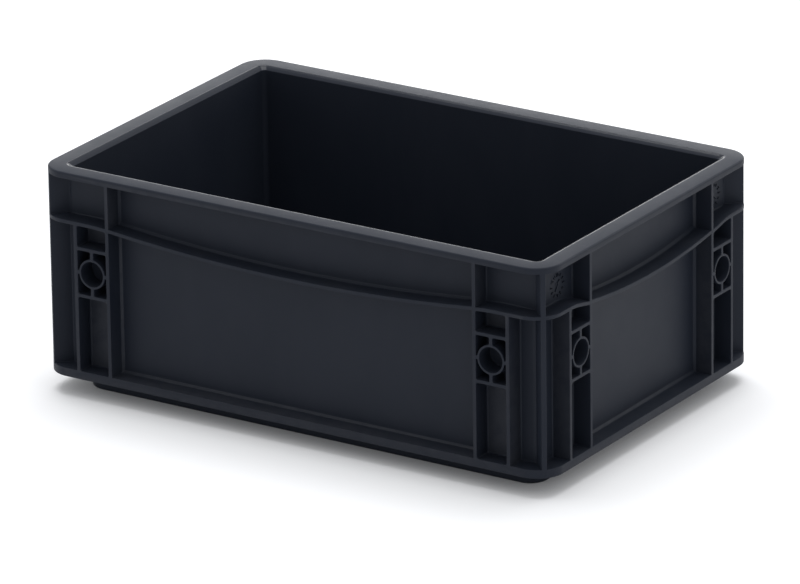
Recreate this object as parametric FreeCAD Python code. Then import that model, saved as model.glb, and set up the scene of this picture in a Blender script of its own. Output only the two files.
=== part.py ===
import math
import os

import FreeCAD
import Part

os.makedirs("parts", exist_ok=True)
V = FreeCAD.Vector

# Outer size, millimetres: X along the long side, Z up, origin under the middle.
box_length = 300.0
box_width = 200.0
box_height = 120.0
corner_radius = 14.5

# Rim: a flat flange standing out to the full size all round the top.
rim_thickness = 3.3
rim_edge_radius = 1.0
lead_in = 1.8

# Tub: the wall that the ribs stand on.
wall_inset = 10.2
wall_thickness = 2.3
wall_draft = 0.7
tub_corner_radius = 2.8
floor_thickness = 2.5
floor_radius = 2.5

# Bottom flange, and the foot that drops into the box below.
flange_base = 10.4
flange_height = 4.5
foot_inset = 15.4
foot_corner_radius = 10.0
foot_chamfer = 0.8

# Upright ribs, placed from the end of each side.
rib_thickness = 2.0
corner_rib_thickness = 2.6
full_rib_inset = 41.7
second_rib_inset = 22.5

# Swept rib: level round the corners, dipping between the full ribs.
# Drops are from the top of the box to the rib's top face.
sweep_thickness = 1.9
sweep_level_drop = 25.2
long_sweep_end_drop = 25.8
long_sweep_mid_drop = 31.5
short_sweep_end_drop = 27.9
short_sweep_mid_drop = 32.0

# Tube boss in a cell of its own between the full and the second rib.
boss_drop = 51.7
boss_cell_height = 23.4
boss_outer_radius = 7.8
boss_wall = 1.15
boss_web = 1.8
cell_rib_thickness = 1.7

# Easing inside the pockets: bevels round their floors, radii in small cells.
panel_bevel = 1.2
cell_bevel = 0.6
cell_radius = 1.0

# How far the cutting tools reach past the outside faces.
overrun = 5.0

half_length = box_length / 2
half_width = box_width / 2
rim_base = box_height - rim_thickness
flange_top = flange_base + flange_height
inner_inset = wall_inset + wall_thickness
sweep_level = box_height - sweep_level_drop
boss_z = box_height - boss_drop
boss_cell_top = boss_z + boss_cell_height / 2
boss_cell_base = boss_z - boss_cell_height / 2


def rounded_outline(inset, radius, z):
    """Closed outline of the box, moved in by inset, with rounded corners."""
    x = half_length - inset
    y = half_width - inset
    corners = [(x, y, 0), (-x, y, 90), (-x, -y, 180), (x, -y, 270)]
    edges = []
    ends = []
    for cx, cy, start in corners:
        centre = V(cx - math.copysign(radius, cx), cy - math.copysign(radius, cy), z)
        points = []
        for turn in (0, 45, 90):
            angle = math.radians(start + turn)
            points.append(centre + V(radius * math.cos(angle), radius * math.sin(angle), 0))
        edges.append(Part.Arc(*points).toShape())
        ends.append((points[0], points[2]))
    for i in range(4):
        edges.append(Part.makeLine(ends[i][1], ends[(i + 1) % 4][0]))
    return Part.Wire(Part.__sortEdges__(edges))


def rounded_block(inset, radius, base, top):
    """Upright block with the outline of the box, moved in by inset."""
    face = Part.Face(rounded_outline(inset, radius, base))
    return face.extrude(V(0, 0, top - base))


def edges_at(shape, z):
    """Edges that lie level at height z."""
    found = []
    for edge in shape.Edges:
        box = edge.BoundBox
        if abs(box.ZMin - z) < 1e-4 and abs(box.ZMax - z) < 1e-4:
            found.append(edge)
    return found


def outer_form():
    """Block with its rim edge rounded, on its foot."""
    block = rounded_block(0, corner_radius, flange_base, box_height)
    block = block.makeFillet(rim_edge_radius, edges_at(block, box_height))
    foot = rounded_block(foot_inset, foot_corner_radius, 0, flange_top)
    foot = foot.makeChamfer(foot_chamfer, edges_at(foot, 0))
    return block.fuse(foot)


def cavity():
    """Inside of the tub, from the floor up through the lead-in at the rim."""
    foot_wall = foot_inset + wall_thickness
    foot_radius = foot_corner_radius - wall_thickness
    base_inset = inner_inset + wall_draft
    step = foot_wall - base_inset
    step_top = flange_base + wall_thickness * math.sqrt(2) + foot_inset - base_inset
    sections = [
        rounded_outline(foot_wall, foot_radius, floor_thickness),
        rounded_outline(foot_wall, foot_radius, step_top - step),
        rounded_outline(base_inset, tub_corner_radius, step_top),
        rounded_outline(inner_inset, tub_corner_radius, box_height - lead_in),
        rounded_outline(inner_inset - lead_in - 1, tub_corner_radius, box_height + 1),
    ]
    hollow = Part.makeLoft(sections, True, True)
    return hollow.makeFillet(floor_radius, edges_at(hollow, floor_thickness))


class Side:
    """One kind of side, drawn as the face at the front and turned into place."""

    def __init__(self, half_span, half_depth, end_drop, mid_drop, turns):
        self.half_span = half_span
        self.face = -half_depth
        self.turns = turns
        self.full_rib = half_span - full_rib_inset
        self.second_rib = half_span - second_rib_inset
        self.sweep_end = box_height - end_drop
        self.sweep_mid = box_height - mid_drop

    def sweep_panel_edge(self, drop):
        """Curve of the swept rib between the two full ribs."""
        y = self.face - overrun
        end = self.full_rib - rib_thickness / 2
        left = V(-end, y, self.sweep_end - drop)
        middle = V(0, y, self.sweep_mid - drop)
        right = V(end, y, self.sweep_end - drop)
        return Part.Arc(left, middle, right).toShape()

    def sweep_corner_edge(self, drop):
        """Curve of the swept rib from a full rib up to its level stretch."""
        y = self.face - overrun
        start = self.full_rib + rib_thickness / 2
        end = self.second_rib - rib_thickness / 2
        reach = (end - start) / 2.5
        slope = 2 * (self.sweep_end - self.sweep_mid) / self.full_rib
        low = self.sweep_end - drop
        high = sweep_level - drop
        curve = Part.BezierCurve()
        curve.setPoles([
            V(start, y, low),
            V(start + reach, y, low + min(slope * reach, high - low)),
            V(end - reach, y, high),
            V(end, y, high),
        ])
        return curve.toShape()

    def prism(self, edges, depth):
        """Pocket tool: an outline in the face, pushed in by depth."""
        face = Part.Face(Part.Wire(Part.__sortEdges__(edges)))
        return face.extrude(V(0, depth + overrun, 0))

    def outline_on(self, curve, z):
        """Curve closed by two uprights and a level edge at height z."""
        first = curve.Vertexes[0].Point
        last = curve.Vertexes[-1].Point
        first_end = V(first.x, first.y, z)
        last_end = V(last.x, last.y, z)
        return [
            curve,
            Part.makeLine(last, last_end),
            Part.makeLine(last_end, first_end),
            Part.makeLine(first_end, first),
        ]

    def ease_floor(self, tool, size):
        """Bevel the edges round a pocket's floor, where it meets the tub wall."""
        floor = self.face + wall_inset
        edges = [e for e in tool.Edges if e.BoundBox.YMin > floor - 1e-4]
        return tool.makeChamfer(size, edges)

    def round_corners(self, tool, radius):
        """Round the edges of a pocket that run into the side."""
        edges = [e for e in tool.Edges if e.BoundBox.YLength > wall_inset]
        return tool.makeFillet(radius, edges)

    def box_cell(self, left, right, base, top):
        """Plain four-sided pocket tool."""
        size = V(right - left, overrun + wall_inset, top - base)
        return Part.makeBox(size.x, size.y, size.z, V(left, self.face - overrun, base))

    def panels(self):
        """The wide pockets above and below the swept rib."""
        upper = self.outline_on(self.sweep_panel_edge(0), rim_base)
        lower = self.outline_on(self.sweep_panel_edge(sweep_thickness), flange_top)
        tools = [self.prism(upper, wall_inset), self.prism(lower, wall_inset)]
        return [self.ease_floor(tool, panel_bevel) for tool in tools]

    def short_cells(self):
        """Pockets over and under the boss, between the full and second ribs."""
        left = self.full_rib + rib_thickness / 2
        right = self.second_rib - rib_thickness / 2
        over = self.outline_on(
            self.sweep_corner_edge(sweep_thickness), boss_cell_top + cell_rib_thickness
        )
        under = self.box_cell(left, right, flange_top, boss_cell_base - cell_rib_thickness)
        tools = [self.prism(over, wall_inset), under]
        tools = [self.round_corners(tool, cell_radius) for tool in tools]
        return [self.ease_floor(tool, cell_bevel) for tool in tools]

    def boss_cell(self):
        """The tube's bore, and its cell less the tube and its four webs."""
        left = self.full_rib + rib_thickness / 2
        right = self.second_rib - rib_thickness / 2
        middle = (left + right) / 2
        depth = overrun + wall_inset
        start = V(middle, self.face - overrun, boss_z)
        bore = Part.makeCylinder(boss_outer_radius - boss_wall, depth, start, V(0, 1, 0))
        tube = Part.makeCylinder(boss_outer_radius, depth, start, V(0, 1, 0))
        cell = self.box_cell(left, right, boss_cell_base, boss_cell_top)
        upright = self.box_cell(
            middle - boss_web / 2, middle + boss_web / 2, boss_cell_base, boss_cell_top
        )
        level = self.box_cell(left, right, boss_z - boss_web / 2, boss_z + boss_web / 2)
        return cell.cut([tube, upright, level]).Solids + [bore]

    def corner_sector(self, start):
        """Plan of a corner pocket: from a rib to the diagonal corner rib."""
        centre_x = self.half_span - corner_radius
        centre_y = self.face + corner_radius
        offset = corner_rib_thickness / 2 / math.sqrt(2)
        inner = V(centre_x - offset, centre_y - offset, flange_top - 1)
        out_y = self.face - overrun
        reach = inner.y - out_y
        points = [
            V(start, out_y, inner.z),
            V(inner.x + reach, out_y, inner.z),
            inner,
            V(start, inner.y, inner.z),
        ]
        face = Part.Face(Part.makePolygon(points + [points[0]]))
        return face.extrude(V(0, 0, box_height))

    def corner_cells(self, tub):
        """Pockets that turn the corner, above and below the swept rib."""
        y = self.face - overrun
        far = self.half_span + overrun
        depth = corner_radius + overrun
        bend = self.sweep_corner_edge(0)
        start = bend.Vertexes[0].Point
        end = bend.Vertexes[-1].Point
        upper = [
            bend,
            Part.makeLine(end, V(far, y, sweep_level)),
            Part.makeLine(V(far, y, sweep_level), V(far, y, rim_base)),
            Part.makeLine(V(far, y, rim_base), V(start.x, y, rim_base)),
            Part.makeLine(V(start.x, y, rim_base), start),
        ]
        above = self.prism(upper, depth).common(self.corner_sector(start.x)).cut(tub)
        side = self.second_rib + rib_thickness / 2
        size = V(far - side, depth + overrun, sweep_level - sweep_thickness - flange_top)
        below = Part.makeBox(size.x, size.y, size.z, V(side, y, flange_top))
        below = below.common(self.corner_sector(side)).cut(tub)
        return [above, below]

    def tools(self, tub):
        """All pocket tools of this kind of side, on both sides of the box."""
        facing_tub = tub.copy()
        facing_tub.rotate(V(0, 0, 0), V(0, 0, 1), -self.turns[0])
        half = self.short_cells() + self.boss_cell() + self.corner_cells(facing_tub)
        one_side = self.panels() + half
        for tool in half:
            one_side.append(tool.mirror(V(0, 0, 0), V(1, 0, 0)))
        placed = []
        for angle in self.turns:
            for tool in one_side:
                turned = tool.copy()
                turned.rotate(V(0, 0, 0), V(0, 0, 1), angle)
                placed.append(turned)
        return placed


tub = rounded_block(wall_inset, corner_radius - wall_inset, 0, box_height + overrun)
long_side = Side(half_length, half_width, long_sweep_end_drop, long_sweep_mid_drop, (0, 180))
short_side = Side(half_width, half_length, short_sweep_end_drop, short_sweep_mid_drop, (90, 270))

pockets = long_side.tools(tub) + short_side.tools(tub)
body = outer_form().cut(pockets + [cavity()])
body = body.removeSplitter()
body.Solids[0].exportStep("parts/tote_body.step")
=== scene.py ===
import math

import bmesh
import bpy
from mathutils import Matrix, Vector
from mathutils.geometry import delaunay_2d_cdt


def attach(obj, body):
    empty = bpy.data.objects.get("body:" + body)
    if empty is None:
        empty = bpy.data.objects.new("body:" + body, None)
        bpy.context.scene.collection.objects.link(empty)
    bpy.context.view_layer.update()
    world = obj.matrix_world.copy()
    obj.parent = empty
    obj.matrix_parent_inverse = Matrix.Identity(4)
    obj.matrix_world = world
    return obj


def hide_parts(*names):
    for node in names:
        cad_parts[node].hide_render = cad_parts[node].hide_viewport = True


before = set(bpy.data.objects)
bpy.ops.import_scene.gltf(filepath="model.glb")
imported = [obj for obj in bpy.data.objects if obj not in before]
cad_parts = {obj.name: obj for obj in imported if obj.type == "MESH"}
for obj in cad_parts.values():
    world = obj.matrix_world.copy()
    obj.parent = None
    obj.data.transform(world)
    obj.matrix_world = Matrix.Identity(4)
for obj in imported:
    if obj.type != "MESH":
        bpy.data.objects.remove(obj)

mm = 0.001
scene = bpy.context.scene
bpy.context.view_layer.update()
print("frame loaded:", sorted(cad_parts))


# The moulding, copied from the frame's node, with its edges rounded as the mould leaves them.
shellEdges = {
    "weldWithin": 0.001 * mm,
    "steps": 3,
    "everyEdge": 0.26 * mm,
    "rimInner": 0.9 * mm,
    "cornerPockets": 0.9 * mm,
    "diagonalRoots": 0.4 * mm,
    "bossCells": 0.8 * mm,
    "bossWebs": 0.36 * mm,
    "sharperThan": math.radians(34),
    "squareFrom": math.radians(60),
    "straight": 0.99,  # an edge runs along an axis when its direction has this share on it
    "rimHeight": 120 * mm,
    "halfSize": (150 * mm, 100 * mm),
    "cornerRadius": 14.5 * mm,
    "diagonalHalf": 5.5 * mm,
    "wallInset": 10.2 * mm,
    "fullRib": 40.8 * mm,
    "secondRib": 21.6 * mm,
    "upperFrom": 92 * mm,
    "flangeFrom": 12 * mm,
    "boss": {"fromEnd": 32.1 * mm, "height": 68.3 * mm, "reach": 15.2 * mm, "webHalf": 1.0 * mm},
    "flatWithin": math.radians(0.3),
    "levelWithin": 0.02 * mm,
}


# Distance in from the box's rounded outline.
def insetOf(point, settings):
    radius = settings["cornerRadius"]
    past = [abs(point[i]) - (settings["halfSize"][i] - radius) for i in (0, 1)]
    corner = math.hypot(max(past[0], 0.0), max(past[1], 0.0))
    return radius - corner - min(max(past), 0.0)


# How widely an edge is rounded.
def roundingOf(edge, settings):
    angle = edge.calc_face_angle_signed(0)
    if abs(angle) < settings["sharperThan"]:
        return 0.0
    ends = [vert.co for vert in edge.verts]
    close = settings["levelWithin"]
    if min(end.z for end in ends) > settings["rimHeight"] - close:
        return settings["rimInner"]
    if angle > -settings["squareFrom"]:
        return settings["everyEdge"]
    middle = (ends[0] + ends[1]) / 2
    onLong = abs(middle.y) > settings["halfSize"][1] - settings["wallInset"] - close
    fromEnds = [settings["halfSize"][i] - abs(middle[i]) for i in (0, 1)]
    fromEnd = fromEnds[0 if onLong else 1]
    offDiagonal = abs(fromEnds[0] - fromEnds[1])
    way = (ends[1] - ends[0]).normalized()
    boss = settings["boss"]
    if abs(way[1 if onLong else 0]) > settings["straight"]:
        above = middle.z - boss["height"]
        if math.hypot(fromEnd - boss["fromEnd"], above) < boss["reach"]:
            return settings["bossWebs" if abs(above) < boss["webHalf"] else "bossCells"]
    deep = min(insetOf(end, settings) for end in ends) > settings["wallInset"] - close
    if middle.z < settings["flangeFrom"]:
        return settings["everyEdge"]
    inUpper = middle.z > settings["upperFrom"] and fromEnd < settings["fullRib"]
    if deep and (inUpper or fromEnd < settings["secondRib"]):
        return settings["diagonalRoots" if offDiagonal < settings["diagonalHalf"] else "cornerPockets"]
    return settings["everyEdge"]


# Numbers each flat patch; gives its normal and a point on it.
def markFlats(bm, layer, settings):
    planes = {}
    for seed in bm.faces:
        if seed[layer]:
            continue
        number = len(planes) + 1
        seed[layer] = number
        waiting = [seed]
        planes[number] = (seed.normal.copy(), seed.calc_center_median())
        normal, origin = planes[number]
        while waiting:
            for edge in waiting.pop().edges:
                for face in edge.link_faces:
                    if face[layer] or face.normal.angle(normal, 0) > settings["flatWithin"]:
                        continue
                    if abs((face.calc_center_median() - origin).dot(normal)) < settings["levelWithin"]:
                        face[layer] = number
                        waiting.append(face)
    return planes


# Cuts a flat patch into triangles afresh, inside its own outline and round its holes.
def fillFlat(faces, normal, origin):
    own = set(faces)
    corners, numbers, outline = [], {}, []
    for face in faces:
        for loop in face.loops:
            if any(other in own for other in loop.edge.link_faces if other is not face):
                continue
            pair = []
            for corner in (loop.vert, loop.link_loop_next.vert):
                if corner not in numbers:
                    numbers[corner] = len(corners)
                    corners.append(corner)
                pair.append(numbers[corner])
            outline.append(tuple(pair))
    turn = normal.to_track_quat("Z", "Y").to_matrix().transposed()
    flat = [((turn @ (corner.co - origin)) * 1000).to_2d() for corner in corners]
    points, _, cut, came, _, _ = delaunay_2d_cdt(flat, outline, [], 0, 1e-7)
    if len(points) != len(corners) or any(len(source) != 1 for source in came):
        return None
    triangles = [tuple(came[i][0] for i in triangle) for triangle in cut]
    leftOf = {}
    for triangle in triangles:
        for side in zip(triangle, triangle[1:] + triangle[:1]):
            leftOf[side] = triangle
    walls = set(outline)
    if not walls <= set(leftOf):
        return None
    kept, waiting = set(), [leftOf[side] for side in outline]
    while waiting:
        triangle = waiting.pop()
        if triangle in kept:
            continue
        kept.add(triangle)
        for first, second in zip(triangle, triangle[1:] + triangle[:1]):
            if (second, first) in walls:
                return None
            if (first, second) not in walls and (second, first) in leftOf:
                waiting.append(leftOf[second, first])
    return [[corners[i] for i in triangle] for triangle in kept]


def buildShell(node, settings):
    bm = bmesh.new()
    bm.from_mesh(node.data)
    bmesh.ops.remove_doubles(bm, verts=bm.verts, dist=settings["weldWithin"])
    bm.normal_update()
    layer = bm.faces.layers.int.new("flatPatch")
    planes = markFlats(bm, layer, settings)
    weights = bm.edges.layers.float.new("bevel_weight_edge")
    widest = max(settings[key] for key in ("rimInner", "cornerPockets", "bossCells"))
    for edge in bm.edges:
        edge[weights] = roundingOf(edge, settings) / widest
    mesh = bpy.data.meshes.new("toteShell")
    bm.to_mesh(mesh)
    bm.free()
    mesh.materials.append(None)
    mesh.materials.append(None)
    piece = bpy.data.objects.new("toteShell", mesh)
    scene.collection.objects.link(piece)
    rounding = piece.modifiers.new("rounding", "BEVEL")
    rounding.limit_method = "WEIGHT"
    rounding.width = widest
    rounding.segments = settings["steps"]
    rounding.use_clamp_overlap = False
    rounding.loop_slide = False
    rounding.material = 1
    depsgraph = bpy.context.evaluated_depsgraph_get()
    bm = bmesh.new()
    bm.from_object(piece, depsgraph)
    piece.modifiers.clear()
    mesh.materials.clear()
    layer = bm.faces.layers.int["flatPatch"]
    strips = {face for face in bm.faces if face.material_index == 1}
    patches = {}
    for face in bm.faces:
        if face not in strips:
            patches.setdefault(face[layer], []).append(face)
    old, new, keptAsIs = [], [], 0
    for number, faces in patches.items():
        if len(faces) == 1 and len(faces[0].verts) == 3:
            continue
        triangles = fillFlat(faces, *planes[number])
        if triangles is None:
            keptAsIs += 1
            continue
        old.extend(faces)
        new.extend(triangles)
    bmesh.ops.delete(bm, geom=old, context="FACES_ONLY")
    for triangle in new:
        bm.faces.new(triangle)
    bmesh.ops.delete(bm, geom=[edge for edge in bm.edges if not edge.link_faces], context="EDGES")
    bmesh.ops.delete(bm, geom=[vert for vert in bm.verts if not vert.link_faces], context="VERTS")
    bm.faces.layers.int.remove(layer)
    for face in bm.faces:
        face.smooth = True
        face.material_index = 0
    bm.to_mesh(mesh)
    print("shell: {} faces, {} open edges, {} patches kept as they were".format(
        len(bm.faces), sum(len(edge.link_faces) != 2 for edge in bm.edges), keptAsIs))
    bm.free()
    shading = piece.modifiers.new("evenShading", "WEIGHTED_NORMAL")
    shading.mode = "FACE_AREA_WITH_ANGLE"
    shading.weight = 100
    shading.keep_sharp = False
    return piece


shell = buildShell(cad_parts["tote_body"], shellEdges)
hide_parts("tote_body")
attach(shell, "root")


# Small helpers for the materials.
def makeGroup(name, inputs, outputs):
    tree = bpy.data.node_groups.new(name, "ShaderNodeTree")
    for label, value in inputs.items():
        socket = tree.interface.new_socket(name=label, in_out="INPUT", socket_type="NodeSocketFloat")
        socket.default_value = value
    for label in outputs:
        tree.interface.new_socket(name=label, in_out="OUTPUT", socket_type="NodeSocketFloat")
    source = tree.nodes.new("NodeGroupInput")
    result = tree.nodes.new("NodeGroupOutput")
    return tree, source, result


def plug(tree, socket, value):
    if isinstance(value, bpy.types.NodeSocket):
        tree.links.new(value, socket)
    else:
        socket.default_value = value


def calc(tree, operation, *values, clamp=False):
    node = tree.nodes.new("ShaderNodeMath")
    node.operation = operation
    node.use_clamp = clamp
    for socket, value in zip(node.inputs, values):
        plug(tree, socket, value)
    return node.outputs[0]


def remap(tree, value, low, high, newLow=0.0, newHigh=1.0, smooth=True):
    node = tree.nodes.new("ShaderNodeMapRange")
    node.interpolation_type = "SMOOTHSTEP" if smooth else "LINEAR"
    for label, number in (("Value", value), ("From Min", low), ("From Max", high),
                          ("To Min", newLow), ("To Max", newHigh)):
        plug(tree, node.inputs[label], number)
    return node.outputs["Result"]


def noise(tree, place, size, detail=2.0, roughness=0.5, distortion=0.0):
    node = tree.nodes.new("ShaderNodeTexNoise")
    plug(tree, node.inputs["Vector"], place)
    plug(tree, node.inputs["Scale"], calc(tree, "DIVIDE", 1.0, size))
    node.inputs["Detail"].default_value = detail
    node.inputs["Roughness"].default_value = roughness
    node.inputs["Distortion"].default_value = distortion
    return node.outputs["Fac"]


def objectPlace(tree):
    return tree.nodes.new("ShaderNodeTexCoord").outputs["Object"]


def stretched(tree, place, factors):
    node = tree.nodes.new("ShaderNodeMapping")
    plug(tree, node.inputs["Vector"], place)
    node.inputs["Scale"].default_value = factors
    return node.outputs["Vector"]


def split(tree, vector):
    node = tree.nodes.new("ShaderNodeSeparateXYZ")
    plug(tree, node.inputs[0], vector)
    return node.outputs


def upward(tree):
    geometry = tree.nodes.new("ShaderNodeNewGeometry")
    return split(tree, geometry.outputs["Normal"])["Z"]


# Spark-eroded mould grain: a fine height and a coarser patchiness of its gloss. Sizes in metres.
def buildGrain():
    tree, source, result = makeGroup(
        "mouldGrain", {"Grain Size": 0.3 * mm, "Patch Size": 9 * mm}, ("Height", "Patches"))
    place = objectPlace(tree)
    fine = noise(tree, place, source.outputs["Grain Size"], 3.0, 0.6)
    patches = noise(tree, place, source.outputs["Patch Size"], 4.0, 0.6)
    tree.links.new(fine, result.inputs["Height"])
    tree.links.new(remap(tree, patches, 0.35, 0.65), result.inputs["Patches"])
    return tree


# Slow tone changes left by the melt as it ran up the walls.
def buildFlow():
    tree, source, result = makeGroup("meltFlow", {"Flow Size": 40 * mm, "Amount": 1.0}, ("Tone",))
    place = stretched(tree, objectPlace(tree), (1.0, 1.0, 0.45))
    broad = noise(tree, place, source.outputs["Flow Size"], 3.0, 0.55, 0.6)
    tone = calc(tree, "MULTIPLY", remap(tree, broad, 0.3, 0.7), source.outputs["Amount"])
    tree.links.new(tone, result.inputs["Tone"])
    return tree


# Rubbed outside edges, lightened along every rib by pointiness: partly the pale line handling leaves,
# partly a painted highlight standing in for the glint of light along the edges.
def buildEdgeWearAndSheen():
    tree, source, result = makeGroup(
        "edgeWearAndSheenTone", {"Start": 0.52, "Full": 0.6, "Break Up": 6 * mm}, ("Mask",))
    geometry = tree.nodes.new("ShaderNodeNewGeometry")
    edge = remap(tree, geometry.outputs["Pointiness"], source.outputs["Start"], source.outputs["Full"])
    gaps = noise(tree, objectPlace(tree), source.outputs["Break Up"], 3.0, 0.6)
    broken = remap(tree, gaps, 0.3, 0.6, 0.45, 1.0)
    tree.links.new(calc(tree, "MULTIPLY", edge, broken), result.inputs["Mask"])
    return tree


# Fine dust lying on faces that look up.
def buildDust():
    tree, source, result = makeGroup("restingDust", {"Cloud Size": 12 * mm, "Amount": 0.5}, ("Mask",))
    facingUp = remap(tree, upward(tree), 0.6, 1.0)
    drifts = noise(tree, objectPlace(tree), source.outputs["Cloud Size"], 5.0, 0.65)
    clouds = remap(tree, drifts, 0.4, 0.75)
    specks = remap(tree, noise(tree, objectPlace(tree), 0.9 * mm, 2.0, 0.5), 0.6, 0.8)
    both = calc(tree, "MAXIMUM", clouds, calc(tree, "MULTIPLY", specks, 0.35))
    amount = calc(tree, "MULTIPLY", calc(tree, "MULTIPLY", facingUp, both), source.outputs["Amount"])
    tree.links.new(amount, result.inputs["Mask"])
    return tree


# Scuffs along the rim, where boxes are stacked and lifted.
def buildScuffs():
    tree, source, result = makeGroup(
        "stackingScuffs", {"From Height": 0.1187, "Scuff Size": 7 * mm, "Amount": 0.6}, ("Mask",))
    place = objectPlace(tree)
    height = split(tree, place)["Z"]
    onRim = calc(tree, "MULTIPLY", remap(tree, upward(tree), 0.8, 0.98),
                 calc(tree, "GREATER_THAN", height, source.outputs["From Height"]))
    wide = stretched(tree, place, (0.35, 0.35, 1.0))
    smears = noise(tree, wide, source.outputs["Scuff Size"], 6.0, 0.7, 0.4)
    strokes = noise(tree, stretched(tree, place, (0.25, 2.2, 1.0)), 2.2 * mm, 3.0, 0.6)
    fine = remap(tree, strokes, 0.6, 0.85, 0.0, 0.5)
    mixed = calc(tree, "ADD", remap(tree, smears, 0.45, 0.75), fine, clamp=True)
    masked = calc(tree, "MULTIPLY", calc(tree, "MULTIPLY", mixed, onRim), source.outputs["Amount"])
    tree.links.new(masked, result.inputs["Mask"])
    return tree


# The rim is not quite flat: it crowns along its middle and rolls off at its inner edge.
# Lengths in metres; Crown and Inner Roll are curvatures, 1/m.
def buildRimCrown():
    tree, source, result = makeGroup("rimCrown", {
        "Half Length": 150 * mm, "Half Width": 100 * mm, "Corner Radius": 14.5 * mm,
        "Middle": 6 * mm, "Crown": 8.7, "Roll Start": 9.5 * mm, "Roll End": 10.9 * mm,
        "Inner Roll": 80.0, "Polished Over": 0.6 * mm, "From Height": 0.1175,
    }, ("Height", "Inner Edge"))
    given = source.outputs
    x, y, z = split(tree, objectPlace(tree))[0:3]
    radius = given["Corner Radius"]
    straightX = calc(tree, "SUBTRACT", given["Half Length"], radius)
    straightY = calc(tree, "SUBTRACT", given["Half Width"], radius)
    alongX = calc(tree, "SUBTRACT", calc(tree, "ABSOLUTE", x), straightX)
    alongY = calc(tree, "SUBTRACT", calc(tree, "ABSOLUTE", y), straightY)
    cornerX = calc(tree, "MAXIMUM", alongX, 0.0)
    cornerY = calc(tree, "MAXIMUM", alongY, 0.0)
    squares = [calc(tree, "MULTIPLY", part, part) for part in (cornerX, cornerY)]
    corner = calc(tree, "SQRT", calc(tree, "ADD", *squares))
    straight = calc(tree, "MINIMUM", calc(tree, "MAXIMUM", alongX, alongY), 0.0)
    fromEdge = calc(tree, "SUBTRACT", radius, calc(tree, "ADD", corner, straight))
    held = calc(tree, "MINIMUM", fromEdge, given["Roll End"])
    offMiddle = calc(tree, "SUBTRACT", held, given["Middle"])
    crown = calc(tree, "MULTIPLY", calc(tree, "MULTIPLY", offMiddle, offMiddle), given["Crown"])
    pastStart = calc(tree, "MAXIMUM", calc(tree, "SUBTRACT", held, given["Roll Start"]), 0.0)
    roll = calc(tree, "MULTIPLY", calc(tree, "MULTIPLY", pastStart, pastStart), given["Inner Roll"])
    high = calc(tree, "GREATER_THAN", z, given["From Height"])
    onRim = calc(tree, "MULTIPLY", high, calc(tree, "GREATER_THAN", upward(tree), 0.6))
    drop = calc(tree, "MULTIPLY", calc(tree, "ADD", crown, roll), onRim)
    tree.links.new(calc(tree, "MULTIPLY", drop, -1.0), result.inputs["Height"])
    polishedAt = calc(tree, "ADD", given["Roll Start"], given["Polished Over"])
    rolled = remap(tree, fromEdge, given["Roll Start"], polishedAt)
    tree.links.new(calc(tree, "MULTIPLY", rolled, onRim), result.inputs["Inner Edge"])
    return tree


# Faint sink lines across the rim, straight above the full-height ribs. Offsets in metres.
def buildSinkLines():
    tree, source, result = makeGroup("sinkLines", {
        "Along Long Side": 0.1083, "Along Short Side": 0.0583, "Width": 0.5 * mm, "From Height": 0.1192,
    }, ("Mask",))
    given = source.outputs
    x, y, z = split(tree, objectPlace(tree))[0:3]
    offLong = calc(tree, "SUBTRACT", calc(tree, "ABSOLUTE", x), given["Along Long Side"])
    offShort = calc(tree, "SUBTRACT", calc(tree, "ABSOLUTE", y), given["Along Short Side"])
    nearest = calc(tree, "MINIMUM", calc(tree, "ABSOLUTE", offLong), calc(tree, "ABSOLUTE", offShort))
    line = calc(tree, "SUBTRACT", 1.0, remap(tree, nearest, 0.0, given["Width"]))
    high = calc(tree, "GREATER_THAN", z, given["From Height"])
    onTop = calc(tree, "MULTIPLY", high, calc(tree, "GREATER_THAN", upward(tree), 0.9))
    tree.links.new(calc(tree, "MULTIPLY", line, onTop), result.inputs["Mask"])
    return tree


grainGroup = buildGrain()
flowGroup = buildFlow()
edgeWearSheenGroup = buildEdgeWearAndSheen()
dustGroup = buildDust()
scuffGroup = buildScuffs()
crownGroup = buildRimCrown()
sinkGroup = buildSinkLines()
print("material groups built")


def place(tree, group, values):
    node = tree.nodes.new("ShaderNodeGroup")
    node.node_tree = group
    for label, value in values.items():
        node.inputs[label].default_value = value
    return node.outputs


def blendColour(tree, factor, first, second):
    node = tree.nodes.new("ShaderNodeMix")
    node.data_type = "RGBA"
    plug(tree, node.inputs["Factor"], factor)
    plug(tree, node.inputs["A"], first)
    plug(tree, node.inputs["B"], second)
    return node.outputs["Result"]


blackPlastic = {
    "deep": (0.0155, 0.0198, 0.0310, 1),
    "lifted": (0.0190, 0.0235, 0.0355, 1),
    # pale tone for rubbing, stacking scuffs and sink lines, also used as a painted highlight on convex
    # edges
    "rubbedAndSheen": (0.034, 0.038, 0.050, 1),
    "dusty": (0.050, 0.053, 0.062, 1),
    "roughness": 0.53,
    "glossPatches": (-0.01, 0.015),
    "specular": 0.19,
    "grain": {"Grain Size": 0.32 * mm, "Patch Size": 9 * mm},
    "grainDepth": 0.010 * mm,
    "flow": {"Flow Size": 42 * mm, "Amount": 1.0},
    # convex edges lightened: partly handling wear, partly a painted highlight
    "edgeWearSheen": {"Start": 0.52, "Full": 0.62, "Break Up": 7 * mm},
    "dust": {"Cloud Size": 13 * mm, "Amount": 0.22},
    "scuffs": {"From Height": 0.1187, "Scuff Size": 8 * mm, "Amount": 0.55},
    "sinks": {"Along Long Side": 0.1083, "Along Short Side": 0.0583, "Width": 0.55 * mm},
    "sinkDepth": 0.03 * mm,
    "sinkTone": 0.5,
    "scuffRoughness": 0.12,
    "crown": {"Middle": 10.2 * mm, "Crown": 11.0, "Roll Start": 9.2 * mm, "Inner Roll": 100.0},
    "polishedEdge": 0.18,
}


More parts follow.
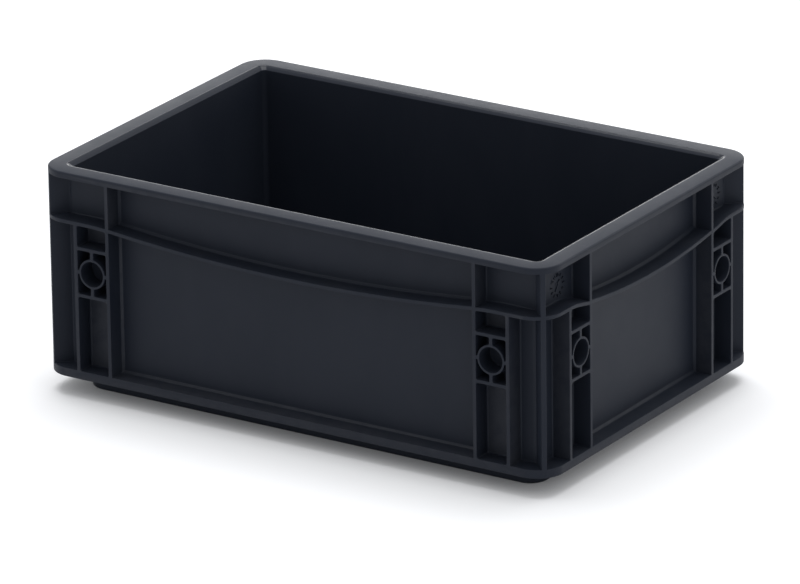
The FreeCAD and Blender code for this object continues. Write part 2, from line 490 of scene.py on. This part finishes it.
def plasticMaterial(name, settings):
    material = bpy.data.materials.new(name)
    material.use_nodes = True
    tree = material.node_tree
    shader = tree.nodes["Principled BSDF"]
    grain = place(tree, grainGroup, settings["grain"])
    flow = place(tree, flowGroup, settings["flow"])
    edgeWearSheen = place(tree, edgeWearSheenGroup, settings["edgeWearSheen"])
    dust = place(tree, dustGroup, settings["dust"])
    colour = blendColour(tree, flow["Tone"], settings["deep"], settings["lifted"])
    # painted highlight: convex edges lightened towards the pale tone, partly real handling wear
    colour = blendColour(tree, edgeWearSheen["Mask"], colour, settings["rubbedAndSheen"])
    colour = blendColour(tree, dust["Mask"], colour, settings["dusty"])
    least, most = [settings["roughness"] + change for change in settings["glossPatches"]]
    rough = remap(tree, grain["Patches"], 0.0, 1.0, least, most, smooth=False)
    height = calc(tree, "MULTIPLY", grain["Height"], settings["grainDepth"])
    if "scuffs" in settings:
        scuffs = place(tree, scuffGroup, settings["scuffs"])
        sinks = place(tree, sinkGroup, settings["sinks"])
        crown = place(tree, crownGroup, settings["crown"])
        colour = blendColour(tree, scuffs["Mask"], colour, settings["rubbedAndSheen"])
        sinkTone = calc(tree, "MULTIPLY", sinks["Mask"], settings["sinkTone"])
        colour = blendColour(tree, sinkTone, colour, settings["rubbedAndSheen"])
        rough = calc(tree, "ADD", rough, calc(tree, "MULTIPLY", scuffs["Mask"], settings["scuffRoughness"]))
        sunk = calc(tree, "MULTIPLY", sinks["Mask"], settings["sinkDepth"])
        height = calc(tree, "SUBTRACT", height, sunk)
        height = calc(tree, "ADD", height, crown["Height"])
        smoother = settings["roughness"] - settings["polishedEdge"]
        polish = calc(tree, "MULTIPLY", crown["Inner Edge"], smoother)
        rough = calc(tree, "SUBTRACT", rough, polish)
    bump = tree.nodes.new("ShaderNodeBump")
    bump.inputs["Strength"].default_value = 1.0
    bump.inputs["Distance"].default_value = 1.0
    plug(tree, bump.inputs["Height"], height)
    plug(tree, shader.inputs["Base Color"], colour)
    plug(tree, shader.inputs["Roughness"], rough)
    plug(tree, shader.inputs["Normal"], bump.outputs["Normal"])
    shader.inputs["Specular IOR Level"].default_value = settings["specular"]
    return material


shell.data.materials.append(plasticMaterial("blackConductive", blackPlastic))
print("shell material set")


# Two date dials, moulded on the right-hand wall in the upper corner pockets.
dateDials = {
    "wall": 139.8 * mm,
    "height": 103.0 * mm,
    "offsets": {"dial_near": -73.4 * mm, "dial_far": 76.0 * mm},
    "arrowTurns": {"dial_near": -35, "dial_far": 50},
    "radius": 6.8 * mm,
    "plateRise": 0.06 * mm,
    "sunkBy": 0.05 * mm,
    "edge": 0.1 * mm,
    "hub": {"radius": 1.9 * mm, "rise": 0.15 * mm, "steps": 24},
    "arrow": {"length": 3.3 * mm, "width": 2.0 * mm, "rise": 0.05 * mm},
    "numberSize": 2.3 * mm,
    "numberRing": 5.3 * mm,
    "rise": 0.55 * mm,
    "numbers": 12,
}


def numberMesh(label, size, rise):
    curve = bpy.data.curves.new("number" + label, "FONT")
    curve.body = label
    curve.size = size
    curve.extrude = rise / 2
    curve.resolution_u = 3
    curve.align_x = "CENTER"
    curve.align_y = "CENTER"
    holder = bpy.data.objects.new("number" + label, curve)
    scene.collection.objects.link(holder)
    depsgraph = bpy.context.evaluated_depsgraph_get()
    mesh = bpy.data.meshes.new_from_object(holder.evaluated_get(depsgraph))
    bpy.data.objects.remove(holder)
    return mesh


def addMesh(bm, mesh, matrix):
    before = set(bm.verts)
    bm.from_mesh(mesh)
    bmesh.ops.transform(bm, matrix=matrix, verts=[v for v in bm.verts if v not in before])


def addDisc(bm, radius, low, high, edge, steps=48):
    rings = []
    eased = edge * 0.3
    profile = ((radius, low), (radius, high - edge), (radius - eased, high - eased), (radius - edge, high))
    for ringRadius, z in profile:
        ring = []
        for i in range(steps):
            angle = 2 * math.pi * i / steps
            ring.append(bm.verts.new((ringRadius * math.cos(angle), ringRadius * math.sin(angle), z)))
        rings.append(ring)
    for lower, upper in zip(rings, rings[1:]):
        for i in range(steps):
            j = (i + 1) % steps
            bm.faces.new((lower[i], lower[j], upper[j], upper[i]))
    bm.faces.new(rings[-1])


def addArrow(bm, length, width, low, high, turn):
    stem, barb, neck = 0.18 * width, 0.5 * width, length * 0.25
    outline = [(-stem, -length), (stem, -length), (stem, neck), (barb, neck), (0, length),
               (-barb, neck), (-stem, neck)]
    spin = Matrix.Rotation(math.radians(turn), 3, "Z")
    lower = [bm.verts.new(spin @ Vector((x, y, low))) for x, y in outline]
    upper = [bm.verts.new(spin @ Vector((x, y, high))) for x, y in outline]
    count = len(outline)
    for i in range(count):
        j = (i + 1) % count
        bm.faces.new((lower[i], lower[j], upper[j], upper[i]))
    bm.faces.new(upper)


def buildDial(name, settings):
    bm = bmesh.new()
    plate, rise, edge = settings["plateRise"], settings["rise"], settings["edge"]
    hub, arrow = settings["hub"], settings["arrow"]
    addDisc(bm, settings["radius"], -settings["sunkBy"], plate, edge)
    addDisc(bm, hub["radius"], 0.0, plate + hub["rise"], edge, hub["steps"])
    for i in range(settings["numbers"]):
        label = str(i + 1)
        turn = -2 * math.pi * (i + 1) / settings["numbers"]
        spot = Matrix.Rotation(turn, 4, "Z") @ Matrix.Translation((0, settings["numberRing"], rise / 2))
        addMesh(bm, numberMesh(label, settings["numberSize"], rise), spot)
    addArrow(bm, arrow["length"], arrow["width"], 0.0, rise + arrow["rise"], settings["arrowTurns"][name])
    mesh = bpy.data.meshes.new(name)
    bm.to_mesh(mesh)
    bm.free()
    dial = bpy.data.objects.new(name, mesh)
    scene.collection.objects.link(dial)
    # local Z looks out of the wall (+X), local Y stays up
    facing = Matrix(((0, 0, 1, 0), (1, 0, 0, 0), (0, 1, 0, 0), (0, 0, 0, 1)))
    spot = (settings["wall"], settings["offsets"][name], settings["height"])
    dial.matrix_world = Matrix.Translation(spot) @ facing
    return dial


dialPlastic = dict(
    blackPlastic, roughness=0.50,
    grain={"Grain Size": 0.2 * mm, "Patch Size": 4 * mm},
    # the edge wear and painted edge highlight start late on the dial, so almost none shows
    edgeWearSheen={"Start": 0.70, "Full": 0.85, "Break Up": 7 * mm},
)
for rimOnly in ("scuffs", "sinks", "crown"):
    dialPlastic.pop(rimOnly)
dialMaterial = plasticMaterial("dialInsert", dialPlastic)
for name in dateDials["offsets"]:
    dial = buildDial(name, dateDials)
    dial.data.materials.append(dialMaterial)
    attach(dial, "root")
print("date dials built")


studioFloor = {
    "halfWidth": 4.0,
    "under": 0.05 * mm,
    "bounce": (0.55, 0.555, 0.57, 1),
    "paper": (0.86, 0.865, 0.885, 1),
    "lift": 0.34,
    # reach of the painted contact shadow on the floor
    "paintedShadeReach": 18 * mm,
}


# One for rays that show the backdrop itself, not the light it throws.
def seenDirectly(tree):
    rays = tree.nodes.new("ShaderNodeLightPath").outputs
    either = calc(tree, "MAXIMUM", rays["Is Camera Ray"], rays["Is Glossy Ray"])
    return calc(tree, "MAXIMUM", either, rays["Is Transmission Ray"])


def buildFloor(settings):
    bm = bmesh.new()
    bmesh.ops.create_grid(bm, x_segments=8, y_segments=8, size=settings["halfWidth"])
    mesh = bpy.data.meshes.new("studioFloor")
    bm.to_mesh(mesh)
    bm.free()
    floor = bpy.data.objects.new("studioFloor", mesh)
    scene.collection.objects.link(floor)
    floor.location.z = -settings["under"]
    material = bpy.data.materials.new("whitePaper")
    material.use_nodes = True
    tree = material.node_tree
    tree.nodes.remove(tree.nodes["Principled BSDF"])
    paper = tree.nodes.new("ShaderNodeBsdfDiffuse")
    glow = tree.nodes.new("ShaderNodeEmission")
    seen = seenDirectly(tree)
    plug(tree, paper.inputs["Color"], blendColour(tree, seen, settings["bounce"], settings["paper"]))
    # painted shade: the floor's glow is dimmed by ambient occlusion, so it darkens near and under the box
    # as a contact shadow
    paintedContactShade = tree.nodes.new("ShaderNodeAmbientOcclusion")
    paintedContactShade.inputs["Distance"].default_value = settings["paintedShadeReach"]
    lift = calc(tree, "MULTIPLY", paintedContactShade.outputs["AO"], settings["lift"])
    plug(tree, glow.inputs["Strength"], calc(tree, "MULTIPLY", seen, lift))
    both = tree.nodes.new("ShaderNodeAddShader")
    tree.links.new(paper.outputs[0], both.inputs[0])
    tree.links.new(glow.outputs[0], both.inputs[1])
    tree.links.new(both.outputs[0], tree.nodes["Material Output"].inputs["Surface"])
    floor.data.materials.append(material)


buildFloor(studioFloor)


studioLight = {
    "ambient": 0.40,
    "ambientTint": (0.96, 0.98, 1.0, 1),
    "lamps": {
        "topSoftbox": {"at": (-0.25, 0.45, 2.3), "aim": (0.0, 0.0, 0.05), "size": (2.0, 1.6),
                       "power": 44, "glossOnly": False},
        "sideSoftbox": {"at": (2.1, -0.5, 1.2), "aim": (0.0, 0.0, 0.06), "size": (1.0, 1.4),
                        "power": 3, "glossOnly": False},
        "backStrip": {"at": (-0.14, 0.36, 0.20), "aim": (-0.03, 0.0, 0.12), "size": (0.75, 0.14),
                      "power": 0.52, "glossOnly": True},
    },
}


def lightStudio(settings):
    world = bpy.data.worlds.new("studioWorld")
    scene.world = world
    world.use_nodes = True
    tree = world.node_tree
    ambient = tree.nodes["Background"]
    ambient.inputs["Color"].default_value = settings["ambientTint"]
    ambient.inputs["Strength"].default_value = settings["ambient"]
    white = tree.nodes.new("ShaderNodeBackground")
    white.inputs["Color"].default_value = (1, 1, 1, 1)
    white.inputs["Strength"].default_value = 1.0
    seen = seenDirectly(tree)
    pick = tree.nodes.new("ShaderNodeMixShader")
    tree.links.new(seen, pick.inputs[0])
    tree.links.new(ambient.outputs[0], pick.inputs[1])
    tree.links.new(white.outputs[0], pick.inputs[2])
    tree.links.new(pick.outputs[0], tree.nodes["World Output"].inputs["Surface"])
    for name, lamp in settings["lamps"].items():
        light = bpy.data.lights.new(name, "AREA")
        light.shape = "RECTANGLE"
        light.size, light.size_y = lamp["size"]
        light.energy = lamp["power"]
        holder = bpy.data.objects.new(name, light)
        scene.collection.objects.link(holder)
        holder.location = lamp["at"]
        direction = Vector(lamp["aim"]) - Vector(lamp["at"])
        holder.rotation_euler = direction.to_track_quat("-Z", "Y").to_euler()
        holder.visible_camera = False
        holder.visible_diffuse = not lamp["glossOnly"]


lightStudio(studioLight)
scene.view_settings.view_transform = "Standard"
print("floor and lights placed")


photoCamera = {
    "target": (1.4 * mm, 0.0, 49.6 * mm),
    "azimuth": 32.83,
    "elevation": 20.45,
    "roll": -0.8,
    "distance": 4.276,
    "lens": 381.4,
}


def placeCamera(settings):
    azimuth = math.radians(settings["azimuth"])
    elevation = math.radians(settings["elevation"])
    roll = math.radians(settings["roll"])
    level = math.cos(elevation)
    back = Vector((math.sin(azimuth) * level, -math.cos(azimuth) * level, math.sin(elevation)))
    side = (-back).cross(Vector((0, 0, 1))).normalized()
    up = side.cross(-back)
    right = math.cos(roll) * side + math.sin(roll) * up
    top = math.cos(roll) * up - math.sin(roll) * side
    data = bpy.data.cameras.new("photoCamera")
    data.sensor_width = 36
    data.lens = settings["lens"]
    data.clip_start = 0.1
    data.clip_end = 50
    camera = bpy.data.objects.new("photoCamera", data)
    scene.collection.objects.link(camera)
    turned = Matrix((right, top, back)).transposed().to_4x4()
    spot = Vector(settings["target"]) + back * settings["distance"]
    camera.matrix_world = Matrix.Translation(spot) @ turned
    scene.camera = camera


placeCamera(photoCamera)
print("camera placed")

bpy.context.view_layer.update()
